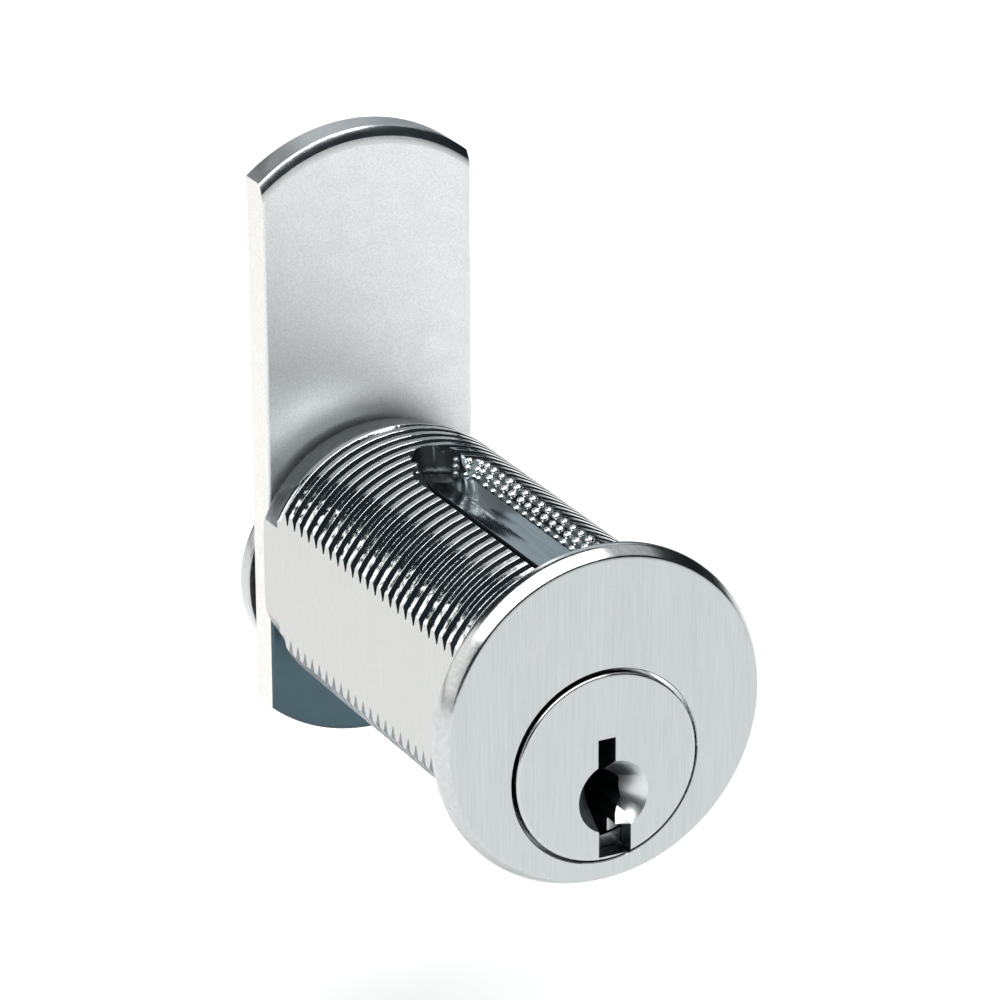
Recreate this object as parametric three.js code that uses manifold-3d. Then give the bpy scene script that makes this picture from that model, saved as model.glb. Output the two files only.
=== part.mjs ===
// Pin-tumbler cam lock: a threaded barrel with two flats, its turning plug, pins, springs and cam.
// Millimetres. X is to the right and Z is up as the lock is seen from its face. Y runs along the barrel, away
// from the face. The origin is on the barrel's axis, in the plane of the flange's rear face, where a panel
// would sit.

import * as THREE from 'three';
import { mergeVertices } from 'three/addons/utils/BufferGeometryUtils.js';
import Module from 'manifold-3d';

const wasm = await Module();
wasm.setup();

// ---- driving dimensions ----

// flange
const FLANGE_THICKNESS = 1.6;
const FLANGE_FACE_RADIUS = 12.62;
const FLANGE_RADIUS = 13.2;
const FLANGE_TAPER = 0.98;

// barrel: 7/8 inch over the threads, 3/4 inch across the flats, 20 threads to the inch
const BARREL_RADIUS = 11.11;
const BARREL_LENGTH = 36.3;
const FLAT_DISTANCE = 9.525;
const THREAD_PITCH = 1.27;
const THREAD_ROOT_RADIUS = 10.5;
const THREAD_START = 0.35;
const THREAD_COUNT = 27;
const NECK_CHAMFER = 0.4;

// plug: its axis lies below the barrel's axis
const PLUG_DROP = 3.64;
const PLUG_RADIUS = 6;
const PLUG_CLEARANCE = 0.15;
const PLUG_HEAD_RADIUS = 7.35;
const PLUG_HEAD_HOLE_RADIUS = 7.6;
const PLUG_HEAD_PROUD = 0.3;
const PLUG_HEAD_THICKNESS = 1.5;
const PLUG_HEAD_GAP = 0.1;
const PLUG_HEAD_CHAMFER = 0.15;
const PLUG_BODY_END = 34.5;

// stem behind the plug: threaded, with four flats that fit the cam's square hole
const STEM_RADIUS = 4;
const STEM_FLAT_DISTANCE = 3.3;
const STEM_END = 46;
const STEM_CHAMFER = 0.5;
const STEM_CLEARANCE = 0.12;

// keyway, measured from the plug's axis: an upper slot, a wider cavity below it, a countersink round its mouth,
// and a lower slot whose right part is shallow
const KEYWAY_END = 24;
const UPPER_SLOT = { left: -0.72, right: 0.7, top: 2.3 };
const CAVITY = [
  [-0.72, -1], [0.7, -1], [1.38, -1.4], [1.97, -1.93], [1.97, -3.36], [1.2, -4.46], [0.9, -5], [-0.66, -5.3],
];
const LOWER_SLOT = { left: -0.66, right: 1.97, top: -4.9, bottom: -7.1 };
const INNER_SLOT_RIGHT = 0.9;
const LOWER_SLOT_DEPTH = 1.7;
const COUNTERSINK = { x: 0.54, z: -2.45, radius: 2.85, depth: 3.9 };

// pins
const PIN_COUNT = 5;
const FIRST_PIN_Y = 6.1;
const PIN_SPACING = 3.9;
const PIN_RADIUS = 1.4;
const PIN_HOLE_RADIUS = 1.55;
const PIN_LEDGE = 0.6;
const SHEAR_GAP = 0.06;
const KEY_PIN_TOP = 5.78;
const KEY_PIN_LENGTHS = [4.4, 3.7, 4.8, 4.1, 3.6];
const KEY_PIN_TIP_RADIUS = 0.45;
const KEY_PIN_TIP_HEIGHT = 0.8;
const DRIVER_PIN_LENGTH = 3;
const DRIVER_PIN_CHAMFER = 0.25;

// slot over the chambers: sloping sides with a round end, then a straight groove on to the end hole
const SLOT_HALF_WIDTH = 3.15;
const SLOT_LIP_Z = 10.65;
const SLOT_SHOULDER_HALF_WIDTH = 1.75;
const SLOT_SHOULDER_Z = 9.4;
const SLOT_FLOOR_Z = 8.6;
const SLOPE_END_Y = 22.4;
const SLOT_END_Y = 25.6;
const END_HOLE_RADIUS = 1.95;

// cover strip in that slot, and the pin behind it
const COVER_GAP = 0.08;
const COVER_EDGE_Z = 9.75;
const COVER_MIDDLE_Z = 9.5;
const COVER_NOTCH_RADIUS = 1.95;
const COVER_PIN_HOLE_RADIUS = 1.6;
const COVER_PIN_HOLE_FLOOR_Z = 5.4;
const COVER_PIN_RADIUS = 1.5;
const COVER_PIN_CHAMFER = 0.25;
const COVER_PIN_TOP_Z = 8.9;

// springs
const SPRING_COIL_RADIUS = 1.1;
const SPRING_WIRE_RADIUS = 0.15;
const SPRING_WIRE_SIDES = 5;
const SPRING_TURNS = 4;
const SPRING_STEPS_PER_TURN = 10;
const SPRING_GAP = 0.06;

// stop washer and the pocket its lug turns in, angles from straight up
const STOP_LUG_RADIUS = 8;
const STOP_POCKET_RADIUS = 8.2;
const STOP_POCKET_FRONT = 34.4;
const STOP_LUG_HALF_ANGLE = 15;
const STOP_LUG_REST_ANGLE = -45;
const STOP_POCKET_HALF_ANGLE = 61;
const STOP_WASHER_RADIUS = 5.8;
const STOP_WASHER_GAP = 0.05;

// cam
const CAM_FRONT = 36.9;
const CAM_THICKNESS = 2.95;
const CAM_HALF_WIDTH = 8.75;
const CAM_TOP = 33.6;
const CAM_TOP_ARC_RADIUS = 13.6;
const CAM_BOTTOM = -15.9;
const CAM_BOTTOM_ARC_RADIUS = 13.2;

// lock washer and flange nut
const LOCK_WASHER_THICKNESS = 0.7;
const LOCK_WASHER_OUTER_RADIUS = 6.6;
const LOCK_WASHER_ROOT_RADIUS = 5.7;
const LOCK_WASHER_HOLE_RADIUS = 4.3;
const LOCK_WASHER_TEETH = 12;
const LOCK_WASHER_TOOTH = [
  { radius: LOCK_WASHER_ROOT_RADIUS, shareOfPitch: 0 },
  { radius: LOCK_WASHER_ROOT_RADIUS, shareOfPitch: 0.25 },
  { radius: LOCK_WASHER_OUTER_RADIUS, shareOfPitch: 0.375 },
  { radius: LOCK_WASHER_OUTER_RADIUS, shareOfPitch: 0.875 },
];
const STACK_GAP = 0.05;
const NUT_FLANGE_RADIUS = 9;
const NUT_FLANGE_THICKNESS = 2.1;
const NUT_ACROSS_FLATS = 12.7;
const NUT_HEX_HEIGHT = 2.6;
const NUT_HOLE_RADIUS = 4.15;
const NUT_CHAMFER = 0.6;

// sides of the polygons that stand for circles
const BARREL_SIDES = 40;
const PIN_SIDES = 16;
const HOLE_SIDES = 16;
const COUNTERSINK_SIDES = 24;
const ARC_STEPS = 10;

// a cutting tool reaches this far past the faces it cuts
const OVERCUT = 1;

// ---- derived places ----

const FACE_Y = -FLANGE_THICKNESS;
const PLUG_FACE_Y = FACE_Y - PLUG_HEAD_PROUD;
const PLUG_SHOULDER_Y = PLUG_FACE_Y + PLUG_HEAD_THICKNESS;
const SHEAR_Z = PLUG_RADIUS - PLUG_DROP;
const CAM_BACK = CAM_FRONT + CAM_THICKNESS;
const LOCK_WASHER_FRONT = CAM_BACK + STACK_GAP;
const LOCK_WASHER_BACK = LOCK_WASHER_FRONT + LOCK_WASHER_THICKNESS;
const NUT_FRONT = LOCK_WASHER_BACK + STACK_GAP;
const NUT_FLANGE_BACK = NUT_FRONT + NUT_FLANGE_THICKNESS;
const NUT_BACK = NUT_FLANGE_BACK + NUT_HEX_HEIGHT;
const DRIVER_PIN_BOTTOM_Z = SHEAR_Z + SHEAR_GAP;
const DRIVER_PIN_TOP_Z = DRIVER_PIN_BOTTOM_Z + DRIVER_PIN_LENGTH;
const PIN_PLACES = Array.from({ length: PIN_COUNT }, (_, i) => FIRST_PIN_Y + i * PIN_SPACING);

// ---- materials ----

const plated = { metalness: 1, roughness: 0.22 };
const satin = { metalness: 1, roughness: 0.38 };
const MATERIALS = {
  shell: new THREE.MeshStandardMaterial({ color: 0xc3c7ca, ...plated }),
  cover: new THREE.MeshStandardMaterial({ color: 0x8f979c, ...satin }),
  plug: new THREE.MeshStandardMaterial({ color: 0xc9cccd, ...satin }),
  pin: new THREE.MeshStandardMaterial({ color: 0xc9a75a, metalness: 1, roughness: 0.3 }),
  spring: new THREE.MeshStandardMaterial({ color: 0xa9adb0, metalness: 1, roughness: 0.25 }),
  cam: new THREE.MeshStandardMaterial({ color: 0xd0d3d4, metalness: 1, roughness: 0.45 }),
  fixing: new THREE.MeshStandardMaterial({ color: 0xbfc3c5, metalness: 1, roughness: 0.35 }),
};

// ---- solids: closed meshes that can be joined and cut ----

function solid(geometry) {
  const bare = geometry.clone();
  bare.deleteAttribute('normal');
  bare.deleteAttribute('uv');
  const welded = mergeVertices(bare, 1e-4);
  const corners = welded.index.array;
  const triangles = [];
  for (let i = 0; i < corners.length; i += 3) {
    const [a, b, c] = corners.slice(i, i + 3);
    if (a !== b && b !== c && c !== a) {
      triangles.push(a, b, c);
    }
  }
  return new wasm.Manifold(new wasm.Mesh({
    numProp: 3,
    vertProperties: new Float32Array(welded.attributes.position.array),
    triVerts: new Uint32Array(triangles),
  }));
}

function geometryOf(body) {
  const mesh = body.getMesh();
  const geometry = new THREE.BufferGeometry();
  geometry.setAttribute('position', new THREE.BufferAttribute(mesh.vertProperties, 3));
  geometry.setIndex(new THREE.BufferAttribute(mesh.triVerts, 1));
  return geometry;
}

// A turned shape about an axis along Y through (x, z): profile points are [radius, y], from front to back.
function turned(profile, sides, x = 0, z = 0) {
  const points = profile.map(([radius, y]) => new THREE.Vector2(radius, y));
  return solid(new THREE.LatheGeometry(points, sides).translate(x, 0, z));
}

function rod(radius, yFront, yBack, sides, x = 0, z = 0) {
  return turned([[0, yFront], [radius, yFront], [radius, yBack], [0, yBack]], sides, x, z);
}

// A turned shape about an upright axis through (0, y): profile points are [radius, z], from the bottom up.
function upright(profile, sides, y) {
  const points = profile.map(([radius, z]) => new THREE.Vector2(radius, z));
  return solid(new THREE.LatheGeometry(points, sides).rotateX(Math.PI / 2).translate(0, y, 0));
}

function uprightRod(radius, zLow, zHigh, sides, y) {
  return upright([[0, zLow], [radius, zLow], [radius, zHigh], [0, zHigh]], sides, y);
}

// A flat outline in x and z, made solid from yFront back to yBack.
function slab(outline, yFront, yBack) {
  const options = { depth: yBack - yFront, bevelEnabled: false, curveSegments: ARC_STEPS };
  return solid(new THREE.ExtrudeGeometry(outline, options).rotateX(Math.PI / 2).translate(0, yBack, 0));
}

function polygon(points) {
  return new THREE.Shape(points.map(([x, z]) => new THREE.Vector2(x, z)));
}

function block(low, high) {
  const size = high.map((value, i) => value - low[i]);
  const middle = high.map((value, i) => (value + low[i]) / 2);
  return solid(new THREE.BoxGeometry(...size).translate(...middle));
}

// A point at a radius from the plug's axis, at an angle in degrees turned from straight up towards +X.
function aroundPlug(radius, degrees) {
  const angle = THREE.MathUtils.degToRad(degrees);
  return [radius * Math.sin(angle), radius * Math.cos(angle) - PLUG_DROP];
}

function sector(radius, fromDegrees, toDegrees) {
  const rim = Array.from({ length: ARC_STEPS + 1 }, (_, i) => {
    return aroundPlug(radius, fromDegrees + ((toDegrees - fromDegrees) * i) / ARC_STEPS);
  });
  return polygon([aroundPlug(0, 0), ...rim]);
}

// The stem's cross-section: a circle with four flats, grown all round by a clearance.
function stemOutline(clearance) {
  const radius = STEM_RADIUS + clearance;
  const flat = STEM_FLAT_DISTANCE + clearance;
  const flatEnd = Math.atan2(Math.sqrt(radius ** 2 - flat ** 2), flat);
  const outline = new THREE.Shape();
  for (let side = 0; side < 4; side += 1) {
    const middle = (side * Math.PI) / 2;
    outline.absarc(0, -PLUG_DROP, radius, middle + flatEnd, middle + Math.PI / 2 - flatEnd, false);
  }
  outline.closePath();
  return outline;
}

// ---- barrel ----

function threadProfile() {
  const points = [];
  for (let turn = 0; turn < THREAD_COUNT; turn += 1) {
    const y = THREAD_START + turn * THREAD_PITCH;
    points.push([THREAD_ROOT_RADIUS, y]);
    points.push([BARREL_RADIUS, y + THREAD_PITCH / 2]);
  }
  return points;
}

function barrelBlank() {
  return turned([
    [0, FACE_Y],
    [FLANGE_FACE_RADIUS, FACE_Y],
    [FLANGE_RADIUS, FACE_Y + FLANGE_TAPER],
    [FLANGE_RADIUS, 0],
    [THREAD_ROOT_RADIUS, 0],
    ...threadProfile(),
    [THREAD_ROOT_RADIUS, THREAD_START + THREAD_COUNT * THREAD_PITCH],
    [THREAD_ROOT_RADIUS, BARREL_LENGTH - NECK_CHAMFER],
    [THREAD_ROOT_RADIUS - NECK_CHAMFER, BARREL_LENGTH],
    [0, BARREL_LENGTH],
  ], BARREL_SIDES);
}

function sideFlat(side) {
  const near = side * FLAT_DISTANCE;
  const far = side * (BARREL_RADIUS + OVERCUT);
  const reach = BARREL_RADIUS + OVERCUT;
  return block(
    [Math.min(near, far), 0, -reach],
    [Math.max(near, far), BARREL_LENGTH + OVERCUT, reach],
  );
}

function coverSlot() {
  const above = BARREL_RADIUS + OVERCUT;
  const half = SLOT_HALF_WIDTH;
  const groove = SLOT_SHOULDER_HALF_WIDTH;
  const sloping = slab(polygon([
    [-half, above], [-half, SLOT_LIP_Z], [-groove, SLOT_SHOULDER_Z], [-groove, SLOT_FLOOR_Z],
    [groove, SLOT_FLOOR_Z], [groove, SLOT_SHOULDER_Z], [half, SLOT_LIP_Z], [half, above],
  ]), 0, SLOPE_END_Y);
  const roundEnd = upright([
    [0, SLOT_FLOOR_Z], [groove, SLOT_FLOOR_Z], [groove, SLOT_SHOULDER_Z],
    [half, SLOT_LIP_Z], [half, above], [0, above],
  ], HOLE_SIDES, SLOPE_END_Y);
  const straight = block([-groove, SLOPE_END_Y, SLOT_FLOOR_Z], [groove, SLOT_END_Y, above]);
  const endHole = uprightRod(END_HOLE_RADIUS, SLOT_FLOOR_Z, above, HOLE_SIDES, SLOT_END_Y);
  return sloping.add(roundEnd).add(straight).add(endHole);
}

function cylinderShell() {
  const boreRadius = PLUG_RADIUS + PLUG_CLEARANCE;
  let body = barrelBlank();
  body = body.subtract(sideFlat(-1)).subtract(sideFlat(1));
  const headSeat = PLUG_SHOULDER_Y + PLUG_HEAD_GAP;
  const front = FACE_Y - OVERCUT;
  body = body.subtract(rod(boreRadius, front, BARREL_LENGTH + OVERCUT, BARREL_SIDES, 0, -PLUG_DROP));
  body = body.subtract(rod(PLUG_HEAD_HOLE_RADIUS, front, headSeat, BARREL_SIDES, 0, -PLUG_DROP));
  body = body.subtract(coverSlot());
  const holeTop = SLOT_FLOOR_Z + OVERCUT;
  for (const y of PIN_PLACES) {
    body = body.subtract(uprightRod(PIN_HOLE_RADIUS, 0, holeTop, PIN_SIDES, y));
  }
  body = body.subtract(
    uprightRod(COVER_PIN_HOLE_RADIUS, COVER_PIN_HOLE_FLOOR_Z, holeTop, HOLE_SIDES, SLOT_END_Y),
  );
  const pocket = sector(STOP_POCKET_RADIUS, -STOP_POCKET_HALF_ANGLE, STOP_POCKET_HALF_ANGLE);
  return body.subtract(slab(pocket, STOP_POCKET_FRONT, BARREL_LENGTH + OVERCUT));
}

// The strip's upper side is a shallow valley, and its rear end is cut round the end hole.
function chamberCover() {
  const half = SLOT_SHOULDER_HALF_WIDTH - COVER_GAP;
  const bottom = SLOT_FLOOR_Z + COVER_GAP;
  const strip = slab(polygon([
    [-half, bottom], [half, bottom], [half, COVER_EDGE_Z], [0, COVER_MIDDLE_Z], [-half, COVER_EDGE_Z],
  ]), COVER_GAP, SLOT_END_Y);
  return strip.subtract(
    uprightRod(COVER_NOTCH_RADIUS, SLOT_FLOOR_Z - OVERCUT, COVER_EDGE_Z + OVERCUT, HOLE_SIDES, SLOT_END_Y),
  );
}

function coverPin() {
  const bottom = COVER_PIN_HOLE_FLOOR_Z + COVER_GAP;
  return upright([
    [0, bottom],
    [COVER_PIN_RADIUS, bottom],
    [COVER_PIN_RADIUS, COVER_PIN_TOP_Z - COVER_PIN_CHAMFER],
    [COVER_PIN_RADIUS - COVER_PIN_CHAMFER, COVER_PIN_TOP_Z],
    [0, COVER_PIN_TOP_Z],
  ], HOLE_SIDES, SLOT_END_Y);
}

// ---- plug ----

function keyway() {
  const front = PLUG_FACE_Y - OVERCUT;
  const middle = COUNTERSINK.z - PLUG_DROP;
  const lowerTop = LOWER_SLOT.top - PLUG_DROP;
  const lowerBottom = LOWER_SLOT.bottom - PLUG_DROP;
  const upper = block(
    [UPPER_SLOT.left, front, middle],
    [UPPER_SLOT.right, KEYWAY_END, UPPER_SLOT.top - PLUG_DROP],
  );
  const cavity = slab(polygon(CAVITY.map(([x, z]) => [x, z - PLUG_DROP])), front, KEYWAY_END);
  const deep = block(
    [LOWER_SLOT.left, front, lowerBottom],
    [INNER_SLOT_RIGHT, KEYWAY_END, lowerTop],
  );
  const shallow = block(
    [LOWER_SLOT.left, front, lowerBottom],
    [LOWER_SLOT.right, PLUG_FACE_Y + LOWER_SLOT_DEPTH, lowerTop],
  );
  const spread = COUNTERSINK.radius / COUNTERSINK.depth;
  const countersink = turned([
    [0, front],
    [COUNTERSINK.radius + OVERCUT * spread, front],
    [0, PLUG_FACE_Y + COUNTERSINK.depth],
  ], COUNTERSINK_SIDES, COUNTERSINK.x, middle);
  return upper.add(cavity).add(deep).add(shallow).add(countersink);
}

function plug() {
  let body = turned([
    [0, PLUG_FACE_Y],
    [PLUG_HEAD_RADIUS - PLUG_HEAD_CHAMFER, PLUG_FACE_Y],
    [PLUG_HEAD_RADIUS, PLUG_FACE_Y + PLUG_HEAD_CHAMFER],
    [PLUG_HEAD_RADIUS, PLUG_SHOULDER_Y],
    [PLUG_RADIUS, PLUG_SHOULDER_Y],
    [PLUG_RADIUS, PLUG_BODY_END],
    [0, PLUG_BODY_END],
  ], BARREL_SIDES, 0, -PLUG_DROP);
  body = body.add(stem()).subtract(keyway());
  for (const y of PIN_PLACES) {
    body = body.subtract(
      uprightRod(PIN_HOLE_RADIUS, PIN_LEDGE - PLUG_DROP, SHEAR_Z + OVERCUT, PIN_SIDES, y),
    );
  }
  return body;
}

function stem() {
  const long = slab(stemOutline(0), PLUG_BODY_END - OVERCUT, STEM_END);
  const chamfered = turned([
    [0, PLUG_BODY_END - 2 * OVERCUT],
    [STEM_RADIUS + OVERCUT, PLUG_BODY_END - 2 * OVERCUT],
    [STEM_RADIUS + OVERCUT, STEM_END - STEM_CHAMFER - OVERCUT],
    [STEM_RADIUS - STEM_CHAMFER, STEM_END],
    [0, STEM_END],
  ], HOLE_SIDES, 0, -PLUG_DROP);
  return long.intersect(chamfered);
}

// ---- pins and springs ----

function keyPin(index) {
  const top = KEY_PIN_TOP - PLUG_DROP;
  const bottom = top - KEY_PIN_LENGTHS[index];
  return upright([
    [0, bottom],
    [KEY_PIN_TIP_RADIUS, bottom],
    [PIN_RADIUS, bottom + KEY_PIN_TIP_HEIGHT],
    [PIN_RADIUS, top],
    [0, top],
  ], PIN_SIDES, PIN_PLACES[index]);
}

function driverPin(index) {
  return upright([
    [0, DRIVER_PIN_BOTTOM_Z],
    [PIN_RADIUS - DRIVER_PIN_CHAMFER, DRIVER_PIN_BOTTOM_Z],
    [PIN_RADIUS, DRIVER_PIN_BOTTOM_Z + DRIVER_PIN_CHAMFER],
    [PIN_RADIUS, DRIVER_PIN_TOP_Z - DRIVER_PIN_CHAMFER],
    [PIN_RADIUS - DRIVER_PIN_CHAMFER, DRIVER_PIN_TOP_Z],
    [0, DRIVER_PIN_TOP_Z],
  ], PIN_SIDES, PIN_PLACES[index]);
}

class SpringLine extends THREE.Curve {
  constructor(y, zLow, zHigh) {
    super();
    this.y = y;
    this.zLow = zLow;
    this.zHigh = zHigh;
  }

  getPoint(t) {
    const angle = t * SPRING_TURNS * 2 * Math.PI;
    return new THREE.Vector3(
      SPRING_COIL_RADIUS * Math.cos(angle),
      this.y + SPRING_COIL_RADIUS * Math.sin(angle),
      this.zLow + (this.zHigh - this.zLow) * t,
    );
  }
}

function pinSpring(index) {
  const low = DRIVER_PIN_TOP_Z + SPRING_GAP + SPRING_WIRE_RADIUS;
  const high = SLOT_FLOOR_Z - SPRING_GAP - SPRING_WIRE_RADIUS;
  const wire = polygon(Array.from({ length: SPRING_WIRE_SIDES }, (_, i) => {
    const angle = (i * 2 * Math.PI) / SPRING_WIRE_SIDES;
    return [SPRING_WIRE_RADIUS * Math.cos(angle), SPRING_WIRE_RADIUS * Math.sin(angle)];
  }));
  return solid(new THREE.ExtrudeGeometry(wire, {
    extrudePath: new SpringLine(PIN_PLACES[index], low, high),
    steps: SPRING_STEPS_PER_TURN * SPRING_TURNS,
  }));
}

// ---- stop washer, cam, lock washer and nut ----

function stopWasher() {
  const front = PLUG_BODY_END + STOP_WASHER_GAP;
  const back = CAM_FRONT - STOP_WASHER_GAP;
  const lug = sector(
    STOP_LUG_RADIUS,
    STOP_LUG_REST_ANGLE - STOP_LUG_HALF_ANGLE,
    STOP_LUG_REST_ANGLE + STOP_LUG_HALF_ANGLE,
  );
  return rod(STOP_WASHER_RADIUS, front, back, BARREL_SIDES, 0, -PLUG_DROP)
    .add(slab(lug, front, back))
    .subtract(slab(stemOutline(STEM_CLEARANCE), front - OVERCUT, back + OVERCUT));
}

function camOutline() {
  const topCentre = CAM_TOP - CAM_TOP_ARC_RADIUS;
  const topEnd = Math.acos(CAM_HALF_WIDTH / CAM_TOP_ARC_RADIUS);
  const bottomCentre = CAM_BOTTOM + CAM_BOTTOM_ARC_RADIUS;
  const bottomEnd = Math.acos(CAM_HALF_WIDTH / CAM_BOTTOM_ARC_RADIUS);
  const outline = new THREE.Shape();
  outline.absarc(0, topCentre, CAM_TOP_ARC_RADIUS, topEnd, Math.PI - topEnd, false);
  outline.absarc(0, bottomCentre, CAM_BOTTOM_ARC_RADIUS, Math.PI + bottomEnd, 2 * Math.PI - bottomEnd, false);
  outline.closePath();
  return outline;
}

function cam() {
  return slab(camOutline(), CAM_FRONT, CAM_BACK)
    .subtract(slab(stemOutline(STEM_CLEARANCE), CAM_FRONT - OVERCUT, CAM_BACK + OVERCUT));
}

function lockWasher() {
  const pitch = 360 / LOCK_WASHER_TEETH;
  const outline = [];
  for (let tooth = 0; tooth < LOCK_WASHER_TEETH; tooth += 1) {
    for (const { radius, shareOfPitch } of LOCK_WASHER_TOOTH) {
      outline.push(aroundPlug(radius, (tooth + shareOfPitch) * pitch));
    }
  }
  const front = LOCK_WASHER_FRONT - OVERCUT;
  const back = LOCK_WASHER_BACK + OVERCUT;
  const hole = rod(LOCK_WASHER_HOLE_RADIUS, front, back, HOLE_SIDES, 0, -PLUG_DROP);
  return slab(polygon(outline), LOCK_WASHER_FRONT, LOCK_WASHER_BACK).subtract(hole);
}

function camNut() {
  const cornerRadius = NUT_ACROSS_FLATS / Math.sqrt(3);
  const hexagon = [0, 60, 120, 180, 240, 300].map((degrees) => aroundPlug(cornerRadius, degrees));
  const flange = rod(NUT_FLANGE_RADIUS, NUT_FRONT, NUT_FLANGE_BACK, BARREL_SIDES, 0, -PLUG_DROP);
  const rounding = turned([
    [0, NUT_FRONT],
    [cornerRadius + NUT_CHAMFER, NUT_FRONT],
    [cornerRadius + NUT_CHAMFER, NUT_BACK - NUT_CHAMFER],
    [cornerRadius - NUT_CHAMFER, NUT_BACK],
    [0, NUT_BACK],
  ], BARREL_SIDES, 0, -PLUG_DROP);
  return slab(polygon(hexagon), NUT_FRONT, NUT_BACK)
    .intersect(rounding)
    .add(flange)
    .subtract(rod(NUT_HOLE_RADIUS, NUT_FRONT - OVERCUT, NUT_BACK + OVERCUT, HOLE_SIDES, 0, -PLUG_DROP));
}

// ---- assembly ----

const lock = new THREE.Group();

function place(name, body, material) {
  const mesh = new THREE.Mesh(geometryOf(body), material);
  mesh.name = name;
  lock.add(mesh);
}

place('cylinder_shell', cylinderShell(), MATERIALS.shell);
place('chamber_cover', chamberCover(), MATERIALS.cover);
place('cover_pin', coverPin(), MATERIALS.fixing);
for (let index = 0; index < PIN_COUNT; index += 1) {
  place(`pin_spring_${index + 1}`, pinSpring(index), MATERIALS.spring);
  place(`driver_pin_${index + 1}`, driverPin(index), MATERIALS.pin);
  place(`key_pin_${index + 1}`, keyPin(index), MATERIALS.pin);
}
place('plug', plug(), MATERIALS.plug);
place('stop_washer', stopWasher(), MATERIALS.fixing);
place('cam', cam(), MATERIALS.cam);
place('lock_washer', lockWasher(), MATERIALS.fixing);
place('cam_nut', camNut(), MATERIALS.fixing);

export default lock;
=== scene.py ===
import math
import random

import bmesh
import bpy
import numpy as np
from mathutils import Matrix, Vector, noise


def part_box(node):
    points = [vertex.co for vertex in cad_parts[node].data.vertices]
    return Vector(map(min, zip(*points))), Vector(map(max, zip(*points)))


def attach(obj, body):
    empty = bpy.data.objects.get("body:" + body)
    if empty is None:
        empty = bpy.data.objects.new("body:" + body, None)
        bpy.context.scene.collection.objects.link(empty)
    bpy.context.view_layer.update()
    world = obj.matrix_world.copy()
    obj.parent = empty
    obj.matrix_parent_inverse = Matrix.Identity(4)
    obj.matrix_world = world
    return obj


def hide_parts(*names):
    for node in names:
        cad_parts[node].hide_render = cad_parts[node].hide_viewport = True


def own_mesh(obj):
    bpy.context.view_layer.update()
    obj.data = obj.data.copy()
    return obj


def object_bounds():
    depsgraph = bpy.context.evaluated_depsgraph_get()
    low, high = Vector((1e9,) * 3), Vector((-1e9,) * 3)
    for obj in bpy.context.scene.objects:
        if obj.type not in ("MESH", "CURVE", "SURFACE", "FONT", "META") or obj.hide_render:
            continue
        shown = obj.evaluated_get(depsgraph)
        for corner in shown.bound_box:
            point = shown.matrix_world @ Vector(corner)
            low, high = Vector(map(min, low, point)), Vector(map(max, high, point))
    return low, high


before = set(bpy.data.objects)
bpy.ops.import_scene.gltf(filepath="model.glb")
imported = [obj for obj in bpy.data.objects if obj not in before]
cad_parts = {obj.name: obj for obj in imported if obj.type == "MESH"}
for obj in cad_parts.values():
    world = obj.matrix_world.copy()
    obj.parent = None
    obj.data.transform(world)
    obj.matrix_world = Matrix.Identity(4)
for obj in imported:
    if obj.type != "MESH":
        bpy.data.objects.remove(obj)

# A pin-tumbler cam lock. Pieces are built in millimetres, in the CAD frame, and turned to metres when they
# are finished: X right, Z up, Y along the barrel, with the origin on the barrel's axis behind the flange.

cad_low, cad_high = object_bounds()
MM = 0.001


def node_box(node):
    """Lowest and highest corner of a CAD node, in millimetres."""
    low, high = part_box(node)
    return low / MM, high / MM


# ---- places taken from the frame ----

shell_low, shell_high = node_box("cylinder_shell")
plug_low, plug_high = node_box("plug")
cam_low, cam_high = node_box("cam")
nut_low, nut_high = node_box("cam_nut")
washer_low, washer_high = node_box("lock_washer")
stop_low, stop_high = node_box("stop_washer")
cover_low, cover_high = node_box("chamber_cover")
cover_pin_low, cover_pin_high = node_box("cover_pin")

FACE_Y = shell_low.y
BARREL_END = shell_high.y
FLANGE_RADIUS = shell_high.x
PLUG_AXIS_Z = (nut_low.z + nut_high.z) / 2
PLUG_FACE_Y = plug_low.y
STEM_END = plug_high.y
PLUG_HEAD_RADIUS = plug_high.x
SLOT_END_Y = (cover_pin_low.y + cover_pin_high.y) / 2
PIN_COUNT = 5

# ---- barrel dimensions that the frame's boxes do not give ----

BARREL_RADIUS = 11.11
THREAD_ROOT = 10.6
THREAD_PITCH = 1.27
THREAD_START = 0.35
THREAD_END = 33.7
THREAD_COLUMNS = 480
# below this height the threads carry painted shade
LOWER_THREAD_Z = -3.5
FLAT_DISTANCE = 9.525
NECK_RADIUS = 10.3
FLANGE_FACE_RADIUS = 12.62
FLANGE_TAPER = 0.98

BORE_RADIUS = 6.15
HEAD_HOLE_RADIUS = 7.6
HEAD_SEAT_Y = -0.3
PIN_HOLE_RADIUS = 1.55
POCKET_RADIUS = 8.2
POCKET_FRONT = 34.4
POCKET_HALF_ANGLE = 61

# the slot over the pin chambers, whose sloping sides run from the lip down to the shoulder
SLOT_HALF_WIDTH = 3.15
SLOT_LIP_Z = 10.65
GROOVE_HALF_WIDTH = 1.75
SLOT_SHOULDER_Z = 9.4
SLOT_FLOOR_Z = 8.6
SLOPE_END_Y = 22.4
SLOPE_RUN_X = SLOT_HALF_WIDTH - GROOVE_HALF_WIDTH
SLOPE_RUN_Z = SLOT_LIP_Z - SLOT_SHOULDER_Z
SLOPE_LENGTH = math.hypot(SLOPE_RUN_X, SLOPE_RUN_Z)
END_HOLE_RADIUS = 1.95
COVER_PIN_HOLE_RADIUS = 1.6
COVER_NOTCH_RADIUS = 1.95
COVER_VALLEY = 0.25

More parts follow.
